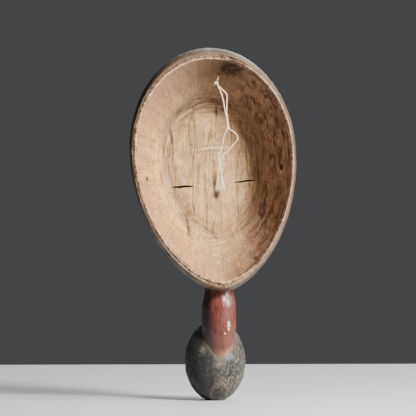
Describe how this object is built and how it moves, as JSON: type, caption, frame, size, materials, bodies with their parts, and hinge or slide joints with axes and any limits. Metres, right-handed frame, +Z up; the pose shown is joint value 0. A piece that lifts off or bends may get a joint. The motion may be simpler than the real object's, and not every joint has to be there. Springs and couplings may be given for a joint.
{
  "type": "carved wooden face mask",
  "caption": "Carved wooden face mask, hollow behind, with eye slits and temple holes, on a barrel neck and a ball, with a knotted string.",
  "frame": {"origin": "centre of the ball's flat underside", "axes": "+Z up through the ball, the hollow back of the mask faces -Y, the carved face looks to +Y"},
  "size_m": [0.1853, 0.0931, 0.391],
  "materials": {
    "carved_wood": "matt, bare and dusty inside, worn dark patina outside",
    "red_painted_wood": "semi-gloss, scuffed",
    "dark_wood": "worn charcoal paint",
    "dowel_wood": "bare",
    "peg_wood": "bare, whittled",
    "twine": "matt, twisted"
  },
  "bodies": {
    "carving": {"mask_shell": "carved_wood", "neck": "red_painted_wood", "ball_foot": "dark_wood", "chin_dowel": "dowel_wood", "ball_dowel": "dowel_wood", "crown_peg": "peg_wood"},
    "string": {"string_left": "twine", "string_right": "twine", "peg_knot": "twine", "middle_knot": "twine", "lower_knot": "twine", "frayed_ends": "twine"}
  },
  "joints": [
    {"name": "string_swing", "type": "hinge", "parent": "carving", "child": "string", "pos_m": [-0.00078, -0.03517, 0.35129], "axis": [-0.2756, -0.6432, -0.7144], "range_deg": [-30, 30]}
  ]
}
